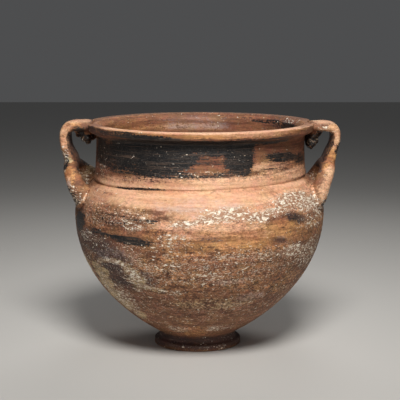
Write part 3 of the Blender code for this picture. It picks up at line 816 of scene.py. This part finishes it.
stain_and_shade = np.maximum(stain_and_shade, spotted(on_handle, [
    (-206, -30, 292, 9, 0.66), (-203, -30, 283, 9, 0.7), (-184, -52, 224, 20, 0.7),
    (-188, 10, 341, 12, 0.45), (-178, 50, 256, 14, 0.5), (186, -52, 216, 14, 0.75),
]))
tan = np.maximum(tan, spotted(on_handle, [
    (-176, 50, 262, 18, 0.8), (188, -56, 212, 12, 0.6), (-188, -52, 216, 14, 0.6),
    (184, 50, 250, 18, 0.6), (-196, -30, 284, 7, 0.7),
]))
bloom_and_highlight = np.maximum(bloom_and_highlight, spotted(on_handle, [
    (-196, -56, 252, 7, 0.9), (-192, -54, 246, 6, 0.8), (-198, -34, 290, 6, 0.6),
]))
# Painted shade: the handles' sides that face the pot, above 268 mm, are darkened with stain and black.
towards_pot = -(outward[:, 0] * places[:, 0] + outward[:, 1] * places[:, 1]) / np.maximum(reach, 0.01)
painted_shade_facing_pot = on_handle * np.clip((towards_pot - 0.15) / 0.5, 0.0, 1.0) * (level > 268.0)
stain_and_shade = np.maximum(stain_and_shade, 0.70 * painted_shade_facing_pot)
black = np.maximum(black, 0.42 * painted_shade_facing_pot)
thrown = np.where(on_handle, 0.0, 1.0)


def paint_on(name, red, green, blue):
    """Three maps as one layer of the mesh, which also says what was thrown on the wheel."""
    layer = pot.data.color_attributes.new(name, "FLOAT_COLOR", "POINT")
    layer.data.foreach_set("color", np.stack([red, green, blue, thrown], axis=1).ravel())


paint_on("soil_and_highlight", ochre, pale, tan)
paint_on("wear_and_shade", black, crust, stain_and_shade)
# The finish layer's bloom map carries a painted highlight as well as haze.
paint_on("finish", thin_slip, grit, bloom_and_highlight)

# The thickest crust stands up from the clay in low lumps. The pot as a whole leans a
# little towards the right handle, as the photograph shows.
CRUST_RELIEF = 0.0009
LUMPY_CRUST = 0.0011            # more of it on the handles, where soil stayed in the corners
THICK_CRUST = 0.5               # the map's strength from which it stands up
CRUST_LUMPS = 190.0             # lumps about 5 mm across, as waves for each metre
CRUST_GRAINS = 420.0            # and grains of about 2 mm

for index in np.flatnonzero(crust > THICK_CRUST):
    spot = Vector(places[index])
    heap = 0.5 + 0.5 * noise.noise(spot * CRUST_LUMPS) + 0.4 * noise.noise(spot * CRUST_GRAINS)
    depth = CRUST_RELIEF + (LUMPY_CRUST if on_handle[index] else 0.0)
    places[index] += outward[index] * (crust[index] - THICK_CRUST) * 2.0 * depth * (heap - 0.3)
places[:, 0] += LEAN * (places[:, 2] - LEAN_LEVEL)
pot.data.vertices.foreach_set("co", places.ravel())
pot.data.update()
pot.data.shade_smooth()

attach(pot, "root")
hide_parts("column_krater")

# Fired clay: iron-rich earthenware, matt, orange where it is freshest and brown where
# soil has stained it, with the remains of black slip and pale burial crust over it, and
# painted shade and painted highlights in its maps.


def pigment(red, green, blue):
    """Red, green and blue from 0 to 255 as the linear colour that a shader takes."""
    linear = []
    for part in (red, green, blue):
        share = part / 255.0
        linear.append(share / 12.92 if share <= 0.04045 else ((share + 0.055) / 1.055) ** 2.4)
    return (linear[0], linear[1], linear[2], 1.0)


clay = bpy.data.materials.new("fired_clay")
clay.use_nodes = True
tree = clay.node_tree
for old in list(tree.nodes):
    tree.nodes.remove(old)


def wired(kind, values=None, **settings):
    """A node with its settings and its inputs: plain values or other nodes' outputs."""
    node = tree.nodes.new(kind)
    for key, value in settings.items():
        setattr(node, key, value)
    for key, value in (values or {}).items():
        if isinstance(value, bpy.types.NodeSocket):
            tree.links.new(value, node.inputs[key])
        else:
            node.inputs[key].default_value = value
    return node


def maths(operation, *inputs):
    return wired("ShaderNodeMath", dict(enumerate(inputs)), operation=operation).outputs[0]


def times(first, second):
    return maths("MULTIPLY", first, second)


def minus(first, second):
    return maths("SUBTRACT", first, second)


def times_plus(first, second, added):
    return maths("MULTIPLY_ADD", first, second, added)


def blend(amount, under, over):
    mixed = wired("ShaderNodeMix", {0: amount, 6: under, 7: over}, data_type="RGBA")
    return mixed.outputs[2]


def step_between(value, low, high):
    node = wired("ShaderNodeMapRange", {"Value": value, "From Min": low, "From Max": high},
                 interpolation_type="SMOOTHSTEP", clamp=True)
    return node.outputs["Result"]


on_pot = wired("ShaderNodeTexCoord").outputs["Object"]


def grain(scale, detail, stretch=(1.0, 1.0), rough=0.6, shift=0.0):
    """Noise of about 1/scale metres, finer by its stretch (level, upward)."""
    moved = wired("ShaderNodeMapping", {"Vector": on_pot, "Location": (shift,) * 3,
                                        "Scale": (stretch[0], stretch[0], stretch[1])})
    return wired("ShaderNodeTexNoise", {"Vector": moved.outputs[0], "Scale": scale,
                                        "Detail": detail, "Roughness": rough}).outputs["Fac"]


def varied(value, share, texture):
    """A value raised and lowered by a share of a noise."""
    return times_plus(minus(texture, 0.5), share, value)


def painted_layer(name):
    """The three maps that were painted on the pot under one name, and what was thrown."""
    layer = wired("ShaderNodeAttribute", attribute_name=name)
    parts = wired("ShaderNodeSeparateColor", {"Color": layer.outputs["Color"]})
    return parts.outputs[0], parts.outputs[1], parts.outputs[2], layer.outputs["Alpha"]


cloud = grain(14.0, detail=3.0)
blotch = grain(58.0, detail=6.0, rough=0.62)
mottle = grain(170.0, detail=6.0, rough=0.72, shift=3.0)
pepper = grain(430.0, detail=3.0, stretch=(0.8, 1.3), shift=5.0)
wheel_streak = grain(20.0, detail=6.0, stretch=(0.7, 12.0), rough=0.68, shift=7.0)
fine_streak = grain(44.0, detail=5.0, stretch=(0.5, 16.0), rough=0.65, shift=11.0)
specks = grain(250.0, detail=2.0, stretch=(0.7, 1.5), rough=0.5, shift=13.0)
small_specks = grain(520.0, detail=2.0, stretch=(0.8, 1.5), rough=0.5, shift=17.0)
dark_specks = grain(380.0, detail=3.0, stretch=(0.8, 1.4), shift=19.0)
drawn_blotch = grain(60.0, detail=6.0, stretch=(0.6, 2.4), rough=0.65, shift=23.0)
tone_streak = grain(30.0, detail=6.0, stretch=(0.5, 6.0), rough=0.7, shift=29.0)
granule = grain(240.0, detail=2.0, stretch=(0.7, 1.5), rough=0.5, shift=31.0)
curls = grain(110.0, detail=2.0, stretch=(0.8, 1.4), rough=0.5, shift=37.0)

ochre_map, pale_map, tan_map, thrown_map = painted_layer("soil_and_highlight")
black_map, crust_map, stain_and_shade_map = painted_layer("wear_and_shade")[:3]
thin_map, grit_map, bloom_and_highlight_map = painted_layer("finish")[:3]

wheel_share = times(minus(wheel_streak, 0.5), thrown_map)
fine_share = times(minus(fine_streak, 0.5), thrown_map)
tone = wired("ShaderNodeMix", {0: thrown_map, 2: blotch, 3: tone_streak}).outputs[0]
tone = step_between(tone, 0.40, 0.60)


def ragged(layer, blotch_share, mottle_share, low, high):
    """A soft map given a ragged edge by the clay's own unevenness."""
    edge = varied(layer, blotch_share, drawn_blotch)
    edge = varied(edge, mottle_share, mottle)
    edge = varied(edge, mottle_share * 0.8, pepper)
    return step_between(edge, low, high)


def two_tone(first, second):
    """One finish in two tones, drawn out along the wheel."""
    return blend(tone, pigment(*first), pigment(*second))


# Bare clay in its tones, with soil, thin slip, stain with painted shade, haze with painted highlights,
# grains and pits over it.
bare = blend(step_between(drawn_blotch, 0.40, 0.60), pigment(110, 72, 49), pigment(160, 110, 76))
bare = blend(step_between(cloud, 0.4, 0.7), bare, pigment(132, 90, 64))
bare = blend(ragged(tan_map, 0.9, 1.2, 0.30, 0.70), bare, two_tone((158, 130, 92), (206, 180, 138)))
bare = blend(ragged(ochre_map, 1.5, 1.8, 0.15, 0.90), bare, two_tone((158, 108, 66), (208, 150, 98)))
bare = blend(ragged(pale_map, 1.1, 1.0, 0.10, 0.85), bare, two_tone((204, 150, 114), (222, 174, 140)))
bare = blend(ragged(thin_map, 1.0, 1.2, 0.25, 0.75), bare, two_tone((104, 64, 46), (150, 96, 68)))
# Stain also paints shade on the foot and on the handles' sides that face the pot.
bare = blend(ragged(stain_and_shade_map, 1.5, 1.8, 0.25, 0.90), bare, two_tone((62, 44, 42), (92, 66, 58)))
# Bloom also paints a highlight on the shoulder's front.
bare = blend(times(ragged(bloom_and_highlight_map, 0.8, 1.0, 0.2, 0.9), 0.6), bare, pigment(176, 156, 152))
grains = times(step_between(pepper, 0.40, 0.60), 0.50)
grains = times_plus(step_between(granule, 0.42, 0.58), 0.55, grains)
grains = times_plus(step_between(mottle, 0.40, 0.60), 0.40, grains)
grains = times(minus(grains, 0.70), times_plus(grit_map, 0.88, 0.12))
unevenness = times_plus(fine_share, 0.5, grains)
bare = wired("ShaderNodeHueSaturation", {
    "Color": bare, "Value": maths("ADD", unevenness, 1.0),
    "Hue": varied(0.5, 0.06, blotch)}).outputs[0]
pits = times(step_between(dark_specks, 0.56, 0.62), grit_map)
bare = blend(times(pits, 0.5), bare, pigment(56, 38, 30))
caked = times(step_between(crust_map, 0.55, 0.95), 0.75)
bare = blend(caked, bare, pigment(148, 106, 78))

# Slip is worn through along the wheel's streaks and in small pits. The same dark layer
# also paints shadow on the shoulder's left edge and shade on the handles.
slip_and_shade_edge = times_plus(wheel_share, 1.3, black_map)
slip_and_shade_edge = times_plus(fine_share, 1.5, slip_and_shade_edge)
slip_and_shade_edge = varied(varied(slip_and_shade_edge, 0.9, mottle), 1.3, pepper)
slip_and_shade_left = step_between(slip_and_shade_edge, 0.40, 0.54)
slip_and_shade_left = times(slip_and_shade_left, step_between(black_map, 0.04, 0.2))
slip_and_shade_colour = blend(step_between(blotch, 0.4, 0.62), pigment(17, 17, 19), pigment(34, 30, 28))
slip_and_shade_colour = blend(times(step_between(small_specks, 0.56, 0.66), 0.35), slip_and_shade_colour, pigment(96, 88, 82))
slip_and_shade_colour = blend(times(step_between(fine_streak, 0.55, 0.64), 0.50), slip_and_shade_colour, pigment(112, 90, 76))
surface = blend(slip_and_shade_left, bare, slip_and_shade_colour)

# Crust is left as grains, small flecks and thin threads, and less of it on the slip and on
# the painted shadow and shade.
crust_kept = times(crust_map, times_plus(slip_and_shade_left, -0.55, 1.0))
crust_level = times_plus(crust_kept, -0.22, 0.73)
crust_edge = varied(specks, 0.35, blotch)
crust_left = step_between(minus(crust_edge, crust_level), 0.0, 0.03)
fleck_level = times_plus(maths("MINIMUM", crust_kept, 0.55), -0.28, 0.70)
fleck_level = times_plus(slip_and_shade_left, 0.05, fleck_level)
fleck_edge = varied(small_specks, 0.45, drawn_blotch)
fleck_left = step_between(minus(fleck_edge, fleck_level), 0.0, 0.05)
crust_left = maths("MAXIMUM", crust_left, times(fleck_left, 0.52))
thread = step_between(maths("ABSOLUTE", minus(curls, 0.5)), 0.022, 0.008)
thread_level = times_plus(crust_kept, -0.32, 0.74)
thread_level = times_plus(slip_and_shade_left, 0.05, thread_level)
thread_kept = step_between(minus(drawn_blotch, thread_level), 0.0, 0.06)
crust_left = maths("MAXIMUM", crust_left, times(thread, thread_kept))
crust_colour = blend(step_between(pepper, 0.40, 0.58), pigment(220, 196, 166), pigment(255, 246, 230))
surface = blend(times(crust_left, 0.94), surface, crust_colour)

# Slip and pale clay are smoother than the rest, and the crust is rougher.
rough = times_plus(pale_map, -0.14, 0.70)
rough = times_plus(slip_and_shade_left, -0.24, rough)
rough = times_plus(crust_left, 0.18, rough)
rough = varied(rough, 0.3, mottle)

relief = times_plus(crust_left, 0.8, times(pepper, 0.9))
relief = times_plus(mottle, 0.9, relief)
relief = times_plus(fine_streak, 0.9, relief)
relief = times_plus(slip_and_shade_left, 0.12, relief)
bumps = wired("ShaderNodeBump", {"Height": relief, "Strength": 0.7, "Distance": 0.0010})
shader = wired("ShaderNodeBsdfPrincipled", {
    "Base Color": surface, "Roughness": rough, "Normal": bumps.outputs[0], "IOR": 1.45})
wired("ShaderNodeOutputMaterial", {"Surface": shader.outputs[0]})
pot.data.materials.clear()
pot.data.materials.append(clay)

# Floor: a plain sheet of pale matt paper, laid flat under the pot.
# It belongs to the studio and isn't part of the pot.
FLOOR_SIZE = 7.0
bpy.ops.mesh.primitive_plane_add(size=FLOOR_SIZE, location=(0.0, 1.2, 0.0))
floor = bpy.context.object
floor.name = "studio_floor"
paper = bpy.data.materials.new("pale_paper")
paper.use_nodes = True
paper_shader = paper.node_tree.nodes["Principled BSDF"]
paper_shader.inputs["Base Color"].default_value = (0.52, 0.51, 0.49, 1.0)
paper_shader.inputs["Roughness"].default_value = 0.9
floor.data.materials.append(paper)

# Light: a soft lamp above in front, a weak one in front and one from behind on the rim.
# The camera stands in front of the pot and looks down on it by about nine degrees.
LOOK_AT = Vector((0.0, 0.0, 0.2200))
EYE = Vector((0.0, -2.0, 0.5255))
LENS_MM = 119.9
SENSOR_MM = 36.0


def soft_light(name, place, size, power, spread, warmth):
    lamp = bpy.data.lights.new(name, "AREA")
    lamp.shape = "DISK"
    lamp.size = size
    lamp.energy = power
    lamp.color = warmth
    lamp.spread = math.radians(spread)
    holder = bpy.data.objects.new(name, lamp)
    holder.location = place
    holder.rotation_euler = (LOOK_AT - Vector(place)).to_track_quat("-Z", "Y").to_euler()
    bpy.context.scene.collection.objects.link(holder)


soft_light("key", (0.15, -1.5, 1.9), 0.8, 7.5, 60.0, (1.0, 0.98, 0.95))
soft_light("front_fill", (-0.3, -2.6, 0.9), 1.4, 0.9, 60.0, (1.0, 0.98, 0.96))
soft_light("back_rim", (0.2, 1.4, 1.8), 1.0, 2.6, 90.0, (1.0, 0.98, 0.96))

room = bpy.data.worlds.new("room")
bpy.context.scene.world = room
room.use_nodes = True
sky = room.node_tree.nodes["Background"]
sky.inputs["Color"].default_value = (0.75, 0.76, 0.78, 1.0)
sky.inputs["Strength"].default_value = 0.10
bpy.context.scene.view_settings.view_transform = "Standard"

lens = bpy.data.cameras.new("camera")
lens.sensor_width = SENSOR_MM
lens.lens = LENS_MM
camera = bpy.data.objects.new("camera", lens)
camera.location = EYE
camera.rotation_euler = (LOOK_AT - EYE).to_track_quat("-Z", "Y").to_euler()
bpy.context.scene.collection.objects.link(camera)
bpy.context.scene.camera = camera
